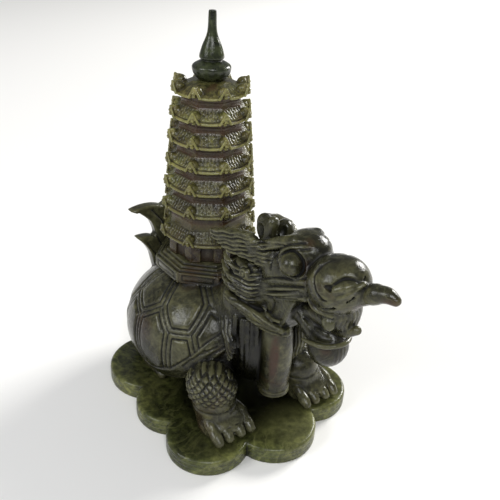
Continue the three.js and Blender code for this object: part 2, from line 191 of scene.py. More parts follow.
def ellipsoid(centre, radii, turn=(0, 0, 0)):
    centre = np.array(centre, float)
    radii = np.array(radii, float)
    to_own = turn_matrix(turn).T
    reach = np.sqrt(((to_own.T * radii) ** 2).sum(1))

    def distance(x, y, z):
        x, y, z = x - centre[0], y - centre[1], z - centre[2]
        own = [row[0] * x + row[1] * y + row[2] * z for row in to_own]
        k0 = np.sqrt(sum((v / r) ** 2 for v, r in zip(own, radii))) + 1e-6
        k1 = np.sqrt(sum((v / r**2) ** 2 for v, r in zip(own, radii))) + 1e-6
        return k0 * (k0 - 1) / k1

    return Shape(centre - reach, centre + reach, distance)


def smooth_path(places, per_span=4):
    """A smooth curve through the places, such as [x, y, z, radius]."""
    p = np.array(places, float)
    if len(p) < 3:
        return p
    ends = np.vstack([2 * p[0] - p[1], p, 2 * p[-1] - p[-2]])
    out = []
    for i in range(1, len(ends) - 2):
        a, b, c, d = ends[i - 1 : i + 3]
        for t in np.arange(per_span) / per_span:
            bent = (2 * a - 5 * b + 4 * c - d) * t**2 + (3 * b - a - 3 * c + d) * t**3
            out.append(0.5 * (2 * b + (c - a) * t + bent))
    out.append(p[-1])
    return np.array(out)


def limb(places, per_span=4):
    """A bent, tapering round rod through [x, y, z, radius] places."""
    path = smooth_path(places, per_span)
    path[:, 3] = np.maximum(path[:, 3], 0.2)
    centres, radii = path[:, :3], path[:, 3]
    low = (centres - radii[:, None]).min(0)
    high = (centres + radii[:, None]).max(0)

    def distance(x, y, z):
        best = np.inf
        for i in range(len(centres) - 1):
            a, b = centres[i], centres[i + 1]
            along = b - a
            length2 = max(float(along @ along), 1e-9)
            px, py, pz = x - a[0], y - a[1], z - a[2]
            t = np.clip((px * along[0] + py * along[1] + pz * along[2]) / length2, 0, 1)
            d = np.sqrt((px - t * along[0]) ** 2 + (py - t * along[1]) ** 2 + (pz - t * along[2]) ** 2)
            d = d - (radii[i] + t * (radii[i + 1] - radii[i]))
            best = np.minimum(best, d)
        return best

    return Shape(low, high, distance)


def edge_distance(u, v, a, b):
    """Squared distance in a plane to the edge from a to b."""
    edge = b - a
    wu, wv = u - a[0], v - a[1]
    t = np.clip((wu * edge[0] + wv * edge[1]) / max(edge @ edge, 1e-9), 0, 1)
    return (wu - t * edge[0]) ** 2 + (wv - t * edge[1]) ** 2


def polygon_distance(u, v, outline):
    """Signed distance in a plane to a closed outline, negative inside."""
    p = np.array(outline, float)
    nearest, inside = np.inf, False
    for a, b in zip(p, np.roll(p, -1, 0)):
        nearest = np.minimum(nearest, edge_distance(u, v, a, b))
        above_a, above_b = v >= a[1], v >= b[1]
        left = (b[0] - a[0]) * (v - a[1]) - (b[1] - a[1]) * (u - a[0]) > 0
        inside = inside ^ ((above_a & ~above_b & ~left) | (~above_a & above_b & left))
    return np.where(inside, -1, 1) * np.sqrt(nearest)


def line_distance(u, v, lines):
    """Distance in a plane to the nearest of some open lines."""
    best = np.inf
    for line in lines:
        p = np.array(line, float)
        for a, b in zip(p[:-1], p[1:]):
            best = np.minimum(best, edge_distance(u, v, a, b))
    return np.sqrt(best)


def plate(outline, axis, middle, half_width, rounding):
    """A flat, round-edged body across X (axis 0) or Y (axis 1). The outline is [along, up] places."""
    p = np.array(outline, float)

    def distance(*place):
        flat = polygon_distance(place[1 - axis], place[2], p)
        return rounded(flat, np.abs(place[axis] - middle) - half_width, rounding)

    low, high = list(p.min(0)), list(p.max(0))
    low.insert(axis, middle - half_width)
    high.insert(axis, middle + half_width)
    return Shape(low, high, distance)


def both_halves(profile):
    """The closed outline of a profile of [radius, height] places and its mirror image."""
    half = np.array(profile, float)
    return np.vstack([half, half[::-1] * [-1, 1]])


def turned(profile, centre_y=0):
    """A turned body about the upright axis at x = 0 and centre_y."""
    whole = both_halves(profile)
    reach, top = whole.max(0)

    def distance(x, y, z):
        return polygon_distance(np.sqrt(x**2 + (y - centre_y) ** 2), z, whole)

    low = [-reach, centre_y - reach, whole[:, 1].min()]
    return Shape(low, [reach, centre_y + reach, top], distance)


# The same on both sides of the figure

def both_sides(figure, shape, blend=1.0, sign=1):
    figure.add(shape, blend, sign)
    figure.add(shape.mirrored(), blend, sign)


def relief_both(figure, low, high, depth):
    """Sinks the surface in a box on the +X side and in the same box on the other side."""
    figure.relief(low, high, depth)
    figure.relief((-high[0], *low[1:]), (-low[0], *high[1:]), depth)


# From a field to a mesh

def blurred(field, reach):
    """The mean of a block of distances over a cube of the given reach in cells."""
    for axis in range(3):
        total = np.cumsum(field, axis=axis, dtype=np.float64)
        cells = np.arange(field.shape[axis])
        ahead = np.take(total, np.minimum(cells + reach, len(cells) - 1), axis)
        behind = np.take(total, np.maximum(cells - reach - 1, 0), axis)
        field = ((ahead - behind) / (2 * reach + 1)).astype(np.float32)
    return field


def sampled(field, places):
    """Values of a block at places given in cells, by linear steps between neighbours."""
    first = np.clip(np.floor(places).astype(int), 0, np.array(field.shape) - 2)
    share = np.clip(places - first, 0, 1)
    out = 0
    for corner in np.ndindex(2, 2, 2):
        weight = np.prod(np.where(corner, share, 1 - share), axis=1)
        i, j, k = (first + corner).T
        out = out + weight * field[i, j, k]
    return out


# Reach of the near surroundings in cells, the most depth that counts in them, and reach of the wide ones
NEAR_REACH = 2
NEAR_DEPTH = 2
WIDE_REACH = 6.4


def mesh_piece(name, carving, to_row, limit=MOST_TRIANGLES, **marks):
    """The surface of a carving as a smooth mesh of at most limit triangles, in the row frame.

    Kept with it for the stone: relief and recess, the mean distance close to a place and widely round it, low
    in hollows and high on edges, and under its own name each mark, a function of places.
    """
    grid = openvdb.FloatGrid(FAR)
    grid.copyFromArray(carving.field.clip(-FAR, FAR))
    points, quads = grid.convertToQuads(0.0)
    mesh = bpy.data.meshes.new(name)
    mesh.from_pydata((points * carving.cell + carving.low) / METRE, [], quads)
    mesh.validate()
    piece = bpy.data.objects.new(name, mesh)
    bpy.context.scene.collection.objects.link(piece)
    triangles = len(quads) * 2
    if triangles > limit:
        fewer = piece.modifiers.new("fewer", "DECIMATE")
        fewer.ratio = limit / triangles * 0.99
        bpy.context.view_layer.update()
        seen = piece.evaluated_get(bpy.context.evaluated_depsgraph_get())
        piece.data = bpy.data.meshes.new_from_object(seen)
        piece.modifiers.clear()
        bpy.data.meshes.remove(mesh)
        piece.data.name = name
    mesh = piece.data
    places = np.empty(len(mesh.vertices) * 3, np.float32)
    mesh.vertices.foreach_get("co", places)
    places = places.reshape(-1, 3) * METRE
    cells = (places - carving.low) / carving.cell
    near = blurred(carving.field.clip(-NEAR_DEPTH, NEAR_DEPTH), NEAR_REACH)
    wide = blurred(carving.field[::2, ::2, ::2], round(WIDE_REACH / 2 / carving.cell))
    values = {"relief": sampled(near, cells), "recess": sampled(wide, cells / 2)}
    for key, mark in marks.items():
        values[key] = mark(places)
    for key, value in values.items():
        kept = mesh.attributes.new(key, "FLOAT", "POINT")
        kept.data.foreach_set("value", value.astype(np.float32))
    mesh.transform(to_row)
    mesh.polygons.foreach_set("use_smooth", np.ones(len(mesh.polygons), bool))
    return piece


# Slab: turned lobes round a flat middle

# The middle and radius of each lobe
LOBES = [(0, -55.5, 29.3), (42.6, -41, 27.7), (44, 0, 26.5), (37, 43, 31.5), (0, 57, 29.3)]
LOBES += [(-x, y, radius) for x, y, radius in reversed(LOBES[1:4])]
TOP_ROUND = 2.4
FOOT_ROUND = 1.2


def slab_carving():
    carving = Carving((-73, -87, -1.5), (73, 89, 13.5), SLAB_CELL)

    def distance(x, y, z):
        flat = polygon_distance(x, y, [(a, b) for a, b, _ in LOBES])
        for a, b, radius in LOBES:
            flat = np.minimum(flat, np.sqrt((x - a) ** 2 + (y - b) ** 2) - radius)
        # Uneven layers of the sawn stone on the sides
        wander = np.sin(x * 0.12 + y * 0.09)
        layers = 0.16 * np.sin(z * 4.2 + wander) + 0.2 * bump((z + 0.4 * wander) % 3.1 - 1.5, 0.5)
        flat = flat + 0.16 + layers * step(-flat, 3, 0) * step(z, 0.8, 2) * step(z, 11, 9)
        return np.maximum(rounded(flat, z - SLAB_HEIGHT, TOP_ROUND), rounded(flat, -z, FOOT_ROUND))

    carving.add(Shape((-71, -85, 0), (71, 87, 12), distance), 0)
    return carving


# Shell

SHELL_CENTRE = np.array([0, 25.6, 37.0])
SHELL_RADII = np.array([60.5, 64.0, 48.0])
SHELL_TILT = 10
# Each cut of the lower edge: a place (y, z) and the slope there in degrees
RIM_CUTS = [(6, 13.7, 26.6), (-10, 21.7, 50.2), (-25, 39.7, 64.7)]
RIM_HEIGHT = 7.0
RIM_BAND = 9.2
SCUTES = 10


def on_shell(azimuth, height):
    """A place on the shell: azimuth from -Y towards +X and height, in degrees, in the tilted dome's frame."""
    a, h = math.radians(azimuth), math.radians(height)
    own = SHELL_RADII * [math.sin(a) * math.cos(h), -math.cos(a) * math.cos(h), math.sin(h)]
    return turn_matrix((-SHELL_TILT, 0, 0)) @ own + SHELL_CENTRE


def shell_line(carving, start, end, steps=5):
    """A line over the shell from one place to another, as a thin rod."""
    places = [np.array(start) + (np.array(end) - start) * t for t in np.linspace(0, 1, steps)]
    carving.add(limb([[*on_shell(*p), 0.2] for p in places], 1), 0)


def above_rim(y, z):
    """The least distance above the cuts that bound the shell's lower edge."""
    least = z - RIM_HEIGHT
    for cut_y, cut_z, slope in RIM_CUTS:
        s = math.radians(slope)
        least = np.minimum(least, (y - cut_y) * math.sin(s) + (z - cut_z) * math.cos(s))
    return least


# Short strokes across the rim near the shoulder, seen from the side
RIM_STROKES = [
    [(-22, 47), (-27, 53)], [(-25, 46), (-29, 53)], [(-27, 49), (-31, 55)], [(-18, 42), (-23, 50)],
    [(-13, 35), (-18, 43)],
]


def scute_corner(azimuth):
    """Where two scutes part below the platform. The foremost one on each side lies a little higher."""
    if azimuth % 360 in (36, 324):
        return azimuth + (3 if azimuth > 180 else -3), 40
    return azimuth, 36


def add_shell(figure):
    """The dome with its scutes, each between double seam lines, and the rim below them."""
    lines = figure.block(figure.low, figure.low + figure.cell * figure.counts)
    turn = 360 / SCUTES
    for i in range(SCUTES):
        middle = turn * (i + 0.5)
        left, right = middle - turn / 2, middle + turn / 2
        shell_line(lines, scute_corner(left), (left, 58))
        if abs(middle - 180) in (54, 126):
            for side in (-1, 1):
                foot = (middle + side * 8, 17)
                shell_line(lines, foot, scute_corner(middle + side * turn / 2))
                shell_line(lines, foot, (middle + side * 13, -24), 8)
            shell_line(lines, (middle - 8, 17), (middle + 8, 17))
        else:
            shell_line(lines, (middle, 24), scute_corner(left))
            shell_line(lines, (middle, 24), scute_corner(right))
            shell_line(lines, (middle, 24), (middle, -24), 8)
    dome = ellipsoid(SHELL_CENTRE, SHELL_RADII, (-SHELL_TILT, 0, 0))
    part, x, y, z = figure.window(dome.low, dome.high, FAR)
    plain = dome.distance(x, y, z)
    beside = np.sqrt(np.maximum((lines.field[part] + 0.2) ** 2 - plain**2, 0))
    rim = above_rim(y, z)
    inside = step(rim, RIM_BAND, RIM_BAND + 0.8)
    depth = 1.2 * np.maximum(bump(beside - 3.4, 0.85), 0.95 * bump(beside + 0.3, 1.0)) * inside
    depth = depth + 0.6 * step(beside, 5.9, 3.6) * inside
    depth = depth + 1.1 * bump(rim - RIM_BAND, 0.9) + 0.5 * bump(rim - 1.6, 0.7)
    depth = depth + 0.9 * bump(line_distance(y, z, RIM_STROKES), 1.0) * step(rim, RIM_BAND, RIM_BAND - 1.5)
    figure.field[part] = smooth_min(figure.field[part], np.maximum(plain + depth, -rim), 0.6)


# Body, breast, legs and tail

def strands(outline, across, along, pitch, depth, sway=0.5):
    """Wavy grooves one pitch apart across a direction, inside an outline of [y, z] places."""
    across = np.array(across, float) / np.linalg.norm(across)
    along = np.array(along, float) / np.linalg.norm(along)

    def sunk(x, y, z):
        s = np.abs(x) * across[0] + y * across[1] + z * across[2]
        t = np.abs(x) * along[0] + y * along[1] + z * along[2]
        phase = s + sway * np.sin(t * 0.5) + 0.6 * sway * np.sin(t * 0.23 + s * 0.6)
        lower = 0.75 + 0.25 * np.sin(phase * 1.7 + t * 0.2)
        return depth * lower * wave(phase, pitch) ** 2 * step(-polygon_distance(y, z, outline), -0.4, 1.4)

    return sunk


def curl(figure, centre, radius, depth):
    """A boss with a spiral groove, on both flanks."""
    both_sides(figure, ellipsoid(centre, (3.4, radius, radius)), 0.8)

    def sunk(x, y, z):
        away = np.hypot(y - centre[1], z - centre[2])
        angle = np.arctan2(z - centre[2], y - centre[1])
        groove = 0.5 - 0.5 * np.cos(2 * math.pi * away / 2.1 - angle)
        return depth * groove**2 * step(away, radius, radius - 1)

    reach = np.array([6.0, radius + 1, radius + 1])
    relief_both(figure, centre - reach, centre + reach, sunk)


def add_body(figure):
    trunk = ellipsoid((0, 25.6, 30), (52, 55, 28.8))
    whole = trunk.distance
    trunk.distance = lambda x, y, z: np.maximum(whole(x, y, z), 5 - z)
    figure.add(trunk, 1.5)
    figure.ball((0, -12, 44), (38, 22, 28), 3, (-30, 0, 0))
    figure.ball((0, -31, 50), (21, 19, 32), 3)
    figure.rod([[0, -10, 60, 25], [0, -34, 92, 19], [0, -50, 108, 13]], 4)


def add_breast(figure):
    """The turned column in front, folded locks beside it and the throat."""
    profile = [
        (0, 21), (9.6, 21), (10.6, 21.8), (10.7, 22.8), (10.2, 23.5), (10.7, 24.2), (10.4, 25.4),
        (9.8, 26), (10.4, 34), (10.9, 44), (10.9, 55), (10.5, 68), (9.6, 75), (7, 80), (0, 81),
    ]
    figure.add(turned(profile, -50), 0.5)
    for angle in range(34, 84, 11):
        back = 1.8 * math.sin(angle)
        x = -20 * math.sin(math.radians(angle))
        y = -30 - 18 * math.cos(math.radians(angle)) + back
        foot = [x * 0.7, y + 6, 27 + 4 * math.cos(angle), 0.8]
        lock = limb([foot, [x * 0.94, y + 1, 40, 2], [x * 1.03, y, 56, 2.4], [x, y + 1, 76, 2]])
        both_sides(figure, lock, 0.2)
    throat = limb([[12, -46, 36, 3], [16.5, -51, 52, 6.2], [18, -54, 67, 7.6], [14, -56, 80, 7]])
    figure.add(throat.carved(hair_lines), 1.5)


def hair_lines(x, y, z):
    """Fine upright grooves."""
    phase = np.abs(x) * 0.75 - y * 0.65 + 0.5 * np.sin(z * 0.3)
    return 0.8 * wave(phase, 2.1) ** 2


def scales(centre, outward, width):
    """A net of raised diamonds drawn across the outward direction, fading out above and below."""
    size = math.hypot(*outward)
    across = (-outward[1] / size, outward[0] / size)

    def sunk(x, y, z):
        s = (x - centre[0]) * across[0] + (y - centre[1]) * across[1]
        s = 20 * np.arcsin(np.clip(s / 20, -0.95, 0.95)) + 0.5 * np.sin(z * 0.5)
        a, b = (s + z) / width, (s - z) / width
        gap = np.minimum(np.abs(a - np.round(a)), np.abs(b - np.round(b))) * width
        pillow = 0.5 * (1 - np.clip(gap / (width * 0.4), 0, 1))
        uneven = 0.35 * np.sin(7 * np.floor(a) + 5 * np.floor(b) + 1)
        return (1.15 * bump(gap, 0.85) + pillow + uneven) * step(z, 19.5, 20.5) * step(z, 50, 47)

    return sunk


# Places of the toes to each side of the foot's middle
TOES = (-12.4, -4.6, 4.3, 12)


def add_foreleg(figure, x, y, foot_x, lead):
    """A scaly thigh at x, y, and a foot moved by foot_x and lead from it. A foot set forward has tendons."""
    net = scales((x, y), (math.copysign(0.6, x), -0.8), 5.2)
    thigh = ellipsoid((x, y, 30), (16.5, 18, 15.5)).carved(net)
    leg = figure.block((x - 26, y - 40, -4), (x + 27, y + 24, 52))
    leg.add(thigh, 0)
    leg.rod([[x, y - 3 + lead, 21, 14.4], [x + foot_x / 2, y - 5 + lead, 9, 14]], 1.0)
    leg.ball((x + foot_x, y - 10 + lead, 5.4), (16.6, 14, 10), 3)
    for spread in TOES:
        toe_x = x + foot_x + spread
        toe = limb([
            [toe_x * 0.9 + (x + foot_x) * 0.1, y - 7 + lead, 12.4, 3.2],
            [toe_x, y - 13 + lead, 10.4, 3.9],
            [toe_x, y - 17.6 + lead, 7.6, 3.6],
            [toe_x, y - 21.4 + lead, 5.6, 3.9],
            [toe_x, y - 24.6 + lead, 3.8, 3.2],
        ])
        leg.add(toe, 0.15)
        gap_x = toe_x + 4.2
        leg.cut(limb([[gap_x, y - 12 + lead, 12.6, 0.7], [gap_x, y - 24 + lead, 5, 1.1]]), 0.3)
        nail_y = y - 22 + lead
        leg.cut(limb([[toe_x - 3, nail_y, 9.6, 0.4], [toe_x + 3, nail_y, 9.6, 0.4]]), 0.3)
        if lead:
            tendon = [[toe_x * 0.6 + x * 0.4, y + 1 + lead, 17, 1.6], [toe_x, y - 13 + lead, 11.4, 2.2]]
            leg.rod(tendon, 0.5)
    gx, gy, gz = leg.places()
    stipple = np.sin(gx * 3.1 + np.sin(gy * 1.7)) * np.sin(gy * 2.9 + np.sin(gx * 1.3)) * np.sin(gz * 2.2)
    top = step(gy, y - 14 + lead, y - 11 + lead) * step(gz, 18.6, 17.6) * step(gz, 6, 8)
    leg.field += 0.22 * stipple * top
    leg.field += 0.7 * bump(gz - 19.4, 0.8) * step(gy, y + 10, y + 4)
    leg.field = np.maximum(leg.field, -gz)
    figure.join(leg, 0.8)


def add_hindleg(figure, side):
    x = side * 36
    leg = figure.block((x - 22, 8, -4), (x + 22, 78, 38))
    leg.add(ellipsoid((x, 50, 15), (15, 20, 17)).carved(scales((x, 50), (side, 0.15), 5.6)), 0)
    leg.ball((x, 36, 5), (13, 16, 8), 2)
    for spread in (-8, 0, 8):
        leg.rod([[x + spread, 30, 5, 4.4], [x + spread, 21, 2.6, 3]], 0.7)
    leg.field = np.maximum(leg.field, -leg.places()[2])
    figure.join(leg, 0.8)


def curve_between(start, bend, end, steps=6):
    """Places on a curve from start to end, pulled towards the bend."""
    a, b, c = (np.array(p, float) for p in (start, bend, end))
    return [(1 - t) ** 2 * a + 2 * t * (1 - t) * b + t * t * c for t in np.linspace(0, 1, steps + 1)[1:]]


def add_tail(figure):
    """A fin with two points on each side, and the rod of the tail behind it."""
    half = [(0, 44), (-20, 50), (-25, 74)]
    for bend, end in (
        ((-28, 82), (-36, 90)), ((-27, 91), (-22, 88)), ((-20, 102), (-40, 112)), ((-26, 116), (-15, 111)),
        ((-6, 116), (0, 114)),
    ):
        half += curve_between(half[-1], bend, end)
    whole = [tuple(p) for p in half] + [(-p[0], p[1]) for p in reversed(half[1:-1])]

    lines = [
        [(0, 50), (0, 112)], [(6, 52), (9, 80), (16, 100), (24, 110)], [(4, 70), (6, 92), (11, 108)],
        [(12, 54), (17, 80), (25, 100), (34, 109.5)], [(17, 56), (22, 74), (28, 84)],
    ]

    def flames(x, y, z):
        return bump(line_distance(np.abs(x), z, lines), 1.3)

    figure.add(plate(whole, 1, 70.5, 4, 1.6).carved(flames), 0.6)
    figure.rod([[0, 78, 40, 10.6], [0, 73.5, 62, 9], [0, 71.5, 98, 5]], 1.5)


# Head: outlines and lines seen from the side, as [y, z] places

UPPER_JAW = [(-42, 110), (-82, 127), (-84, 116), (-42, 96)]
JAW_SIDE = [(-34, 95), (-42, 99), (-80, 117), (-72.5, 102), (-65, 81), (-46, 80), (-34, 82)]
MANE = [(-13, 112), (-30, 120), (-47, 118), (-50, 104), (-46, 90), (-30, 84), (-16, 92)]
EAR = [(-3, 126), (-19, 133), (-36, 136), (-52, 130), (-52, 119), (-43, 117), (-20, 116), (-6, 121)]
STRAP = [(-18, 92), (-36, 97), (-58, 90), (-72, 86), (-68, 77), (-44, 76), (-24, 82)]
CHEEK_LINES = [
    [(-43, 107), (-59, 117), (-76, 124), (-84, 129)], [(-45, 102), (-59, 111), (-83, 123)],
    [(-44, 96), (-60, 104), (-83, 117)], [(-46, 99.5), (-60, 107.5), (-80, 119)],
]
EAR_CREASE = [[(-3, 122), (-20, 116), (-43, 118.5)]]
LID_LINES = [
    [(-62, 124), (-61, 130), (-65, 136), (-72, 141), (-79, 143)],
    [(-56, 121), (-55, 128), (-60, 136), (-69, 143), (-78, 146)],
    [(-64, 140), (-52, 136), (-32, 128)], [(-57, 133), (-44, 128), (-28, 120)],
    [(-55, 126), (-42, 121), (-27, 116)], [(-60, 139), (-48, 132), (-30, 124)],
]
JAW_LINES = [
    [(-45, 95), (-58, 102)], [(-49, 96), (-50, 90), (-56, 90), (-59, 99)],
    [(-44, 90), (-56, 86), (-66, 84)], [(-60, 103), (-68, 107), (-79, 113)],
]


def carve_side(figure, low, high, lines, width, depth):
    """Engraves side-view lines in a box on the +X side and in the same box on the other side."""
    relief_both(figure, low, high, lambda x, y, z: depth * bump(line_distance(y, z, lines), width))


def add_head(figure):
    head = figure.block((-30, -140, 62), (30, 4, 156))
    head.ball((0, -54, 118), (15, 18, 17), 0)
    head.rod([[0, -62, 124, 13], [0, -88, 125, 12]], 3)
    head.ball((0.5, -70, 137.5), (13, 14, 10.5), 1.5)
    head.add(plate(UPPER_JAW, 0, 0, 11.8, 2), 1.5)
    head.add(plate(JAW_SIDE, 0, 0, 12, 2), 1)
    for drop in (0, 5, 10):
        both_sides(head, limb([[-11.6, -42, 106.5 - drop, 2.6], [-10.6, -83, 126 - drop, 2.9]]), 1.2)

    # Mane, ear and strap of the beard, with carved hair
    mane_turn = ((0, 0.04, 1), (0, 1, -0.04))
    mass = ellipsoid((-13, -34, 102), (10, 15, 17)).carved(strands(MANE, *mane_turn, 2.9, 1.7, 0.35))
    both_sides(head, mass, 1.2)
    leaf = plate(EAR, 0, -15.8, 3.4, 2.4)
    upright_leaf = leaf.distance
    leaf.distance = lambda x, y, z: upright_leaf(x + (y + 30) * 0.17, y, z)
    leaf.low, leaf.high = leaf.low - [5, 0, 0], leaf.high + [4, 0, 0]
    both_sides(head, leaf.carved(strands(EAR, (0, 0.3, 1), (0, 1, -0.3), 2.6, 1.3, 0.4)), 1.5)
    strap = [[-18.6, -26.5, 88, 3.6], [-17.6, -34, 87, 5.2], [-15, -46, 84, 5.8], [-12.4, -58, 82.5, 5.4]]
    hair = strands(STRAP, (0, 0.12, 1), (0, 1, -0.12), 3.0, 1.3, 0.3)
    both_sides(head, limb(strap + [[-9, -67, 82, 4]]).carved(hair), 0.8)
    band = [[-22.8, -26.5, 90.6, 2.9], [-22.6, -33, 89.6, 3.1], [-20.8, -42, 88.4, 3.0]]
    band += [[-17.8, -51, 86.4, 2.8], [-15, -60, 84.8, 2.5], [-12.2, -67.4, 83.8, 2.2]]
    both_sides(head, limb(band), 0.1)
    for places in (
        [[-17, -12, 106, 1.2], [-21.5, -22, 106, 2.0], [-22, -32, 103, 2.1], [-18.5, -44, 99, 1.3]],
        [[-17, -13, 100, 1.2], [-21.5, -21, 99.5, 2.0], [-22, -30, 97, 2.0], [-19, -42, 94, 1.2]],
        [[-17, -14, 113, 1.2], [-20.5, -21, 113, 1.8], [-20, -28, 110, 1.8], [-19, -33, 105, 1.2]],
    ):
        both_sides(head, limb(places), 1.2)
    relief_both(head, (12, -48, 92), (27, -12, 121), strands(MANE, *mane_turn, 1.9, 0.7, 0.25))
    curl(head, np.array([19, -38.5, 111.5]), 4.6, 1.3)

    # Brow, lids and eyes
    both_sides(head, ellipsoid((-9, -69, 132), (7, 11, 9.5)), 1.2)
    ridge = limb([[-11, -32, 122, 2.4], [-11, -46, 131, 3.4], [-10, -58, 138.6, 3.6], [-8, -68, 143.6, 3.4]])
    both_sides(head, ridge, 2.5)
    for centre, radius in (([-14, -72.5, 132.8], 6.8), ([9.5, -71, 127.5], 6.2)):

        def socket(x, y, z):
            away = np.sqrt((x - centre[0]) ** 2 + (y - centre[1]) ** 2 + (z - centre[2]) ** 2)
            return 1.5 * bump(away - radius - 0.6, 1.3) - 0.5 * bump(away - radius - 2.6, 1.1)

        head.relief(np.subtract(centre, 11), np.add(centre, 11), socket)
        head.add(ellipsoid(centre, (radius, radius, radius)), 0.2)

    # Nose with coiled nostrils, the hanging lip and the whisker
    head.ball((0.5, -95.5, 127.4), (17, 17.6, 16.8), 1.2)
    head.ball((2, -99.5, 131), (13.6, 14.6, 14), 1.5)
    lip = ellipsoid((2.5, -97.5, 113.5), (13, 12, 15.5), (0, -14, 0))

    def pleats(x, y, z):
        around = np.arctan2(x - 2, -(y + 97)) * 13
        return 0.5 * wave(around + 0.6 * np.sin(z * 0.6), 3.1) * step(z, 124, 116) * step(z, 97, 101)

    head.add(lip.carved(pleats), 0.8)
    whisker = [[3, -100, 121, 6.4], [5, -110, 127, 6.2], [5.6, -117.5, 131.4, 5.2], [6.8, -124.5, 134, 4.5]]
    head.rod(whisker + [[8, -129.4, 133, 3.0]], 0.8)
    head.rod([[5.4, -116.6, 130.8, 5.9], [5.7, -118.4, 131.8, 5.7]], 0.5)
    far_arc = [[4.9, -95, 143.6, 0.5], [8.4, -92.6, 141.7, 0.7], [12, -92, 138.6, 0.8]]
    far_arc += [[14.4, -92.4, 134, 0.5]]
    outer = [[10, -91, 140, 0.5], [13.2, -90.8, 136.5, 0.8], [15.6, -93, 132.6, 0.9]]
    outer += [[16.7, -95.6, 129.4, 0.9], [16.4, -99, 126.6, 0.9], [15, -102.6, 125.6, 0.8]]
    outer += [[13.4, -105.8, 127.6, 0.5]]
    hole = [[15, -100.6, 133.5, 0.9], [14, -103, 133.3, 1.9], [12.6, -104.6, 132.8, 1.6]]
    crease = [[12.8, -103.6, 134.8, 0.9], [10.2, -105, 137.4, 1.0], [7.5, -106.6, 138.9, 1.1]]
    crease += [[4.6, -109.4, 139, 0.9], [1.6, -112.4, 137.6, 0.5]]
    lower = [[14.4, -97, 117, 0.9], [13.2, -103, 120.4, 1.1], [9.6, -108.4, 125, 1.0], [5, -112, 129.6, 0.7]]
    wing = [[14.8, -98.4, 121.2, 0.9], [14.4, -102.6, 124.2, 1.3], [11.7, -107.4, 128.6, 1.5]]
    wing += [[8, -110.4, 131.6, 1.5], [4.4, -112.2, 134.4, 1.4], [0.5, -113.4, 136.8, 1.2]]
    ball = [[11.6, -105.4, 132.6, 2.6], [8, -108.4, 134.6, 2.9], [4.6, -110.6, 136, 2.0]]
    for flipped in (False, True):

        def stroke(places):
            """A stroke on one side of the nose, whose middle is at x = 0.5."""
            return limb([[1 - x if flipped else x, y, z, r] for x, y, z, r in places])

        for places in (far_arc, outer, hole, crease, lower):
            head.cut(stroke(places), 0.5)
        for places in (wing, ball):
            head.add(stroke(places), 0.6)
    head.add(ellipsoid((3.5, -99, 106.5), (9.4, 9.8, 8)).carved(pleats), 1.5)
    lip_edge = [[-12.6, -88, 118, 1.2], [-12, -92, 114.6, 1.5], [-10.8, -97, 113.8, 1.4]]
    head.rod(lip_edge + [[-9.4, -103.6, 114.6, 1.2]], 0.6)
    head.ball((-8.6, -101, 108.4), (3.4, 4.2, 4.8), 0.2)

    # Lower jaw with the hollow of the mouth, its lip, the tongue and the chin
    head.rod([[0, -56, 97, 8], [0, -72, 96, 7.4], [0, -82, 92, 8], [0, -92, 88, 9]], 1.5)
    chin = ellipsoid((0.5, -94, 85.7), (12.3, 12, 13.2))

    def beard(x, y, z):
        around = np.arctan2(x - 0.5, -(y + 94)) * 12
        return 0.4 * wave(around, 2.9) * step(z, 92, 89) * step(x, -9, -2)

    head.add(chin.carved(beard), 1.5)
    mouth = limb([[-6, -80, 99, 2], [-9, -90, 97, 3.2], [-8, -98, 96.5, 3], [-3, -104, 97, 2]])
    both_sides(head, mouth, 0.8, -1)
    rim = [[-12, -86, 89.5, 1.0], [-12, -94, 91.5, 1.4], [-9, -102, 93, 1.5], [0.5, -106, 93.6, 1.5]]
    head.rod(rim + [[9, -102, 93, 1.5], [12.5, -94, 91.5, 1.4], [12, -86, 89.5, 1.0]], 0.6)
    tongue = [[0, -74, 100, 5], [0, -92, 102, 5.2], [1.5, -103, 100.5, 3.8], [3, -111.5, 105.4, 2.7]]
    head.rod(tongue, 0.6)

    # Horns, hollow at the side
    head.rod([[-5, -43, 126, 5], [-6, -41, 136, 5]], 1)
    head.ball((-6, -40.6, 138.2), (5.6, 7.6, 8.4), 1)
    head.ball((-6.2, -37.4, 142.2), (4.6, 4, 5), 0.8)
    head.ball((-5.6, -44.6, 143), (4.2, 3.6, 5), 0.8)
    head.cut(ellipsoid((-12.4, -40, 138.8), (3.2, 3.6, 5.4)), 0.8)
    head.rod([[5, -44, 122, 5], [6, -42, 132, 5]], 1)
    head.ball((6, -42, 134.6), (5.8, 6.2, 7.2), 1)
    head.cut(ellipsoid((1.4, -46, 137.4), (2.6, 2.8, 3.8)), 0.8)

    # Ridge and crease behind the jaw, and the lines seen from the side
    both_sides(head, limb([[-13.4, -66, 90, 1], [-13.2, -58, 88, 1.3], [-13, -50, 91, 1.2]]), 0.6)
    both_sides(head, limb([[-13.6, -46, 97, 1.8], [-13.6, -56.5, 100.8, 2.2]]), 0.6, -1)

    carve_side(head, (7, -100, 76), (26, -26, 150), LID_LINES, 0.9, 1.0)
    carve_side(head, (9, -46, 112), (28, -2, 124), EAR_CREASE, 1.3, 1.8)
    carve_side(head, (7, -92, 84), (20, -42, 132), CHEEK_LINES, 0.9, 1.1)
    carve_side(head, (6, -84, 76), (20, -42, 118), JAW_LINES, 0.9, 0.9)
    figure.join(head, 1.2)

    # Flame on the shoulder
    flame = limb([[-18, -24, 66, 8], [-23, -33, 59, 5.2], [-27, -37, 49, 1.8]])
    flame_area = [(-8, 80), (-30, 78), (-46, 62), (-46, 44), (-30, 40), (-10, 56)]
    both_sides(figure, flame.carved(strands(flame_area, (0.3, 0.8, -0.6), (0, 0.6, 0.8), 2.8, 1.3, 0.5)), 1)


# Platform

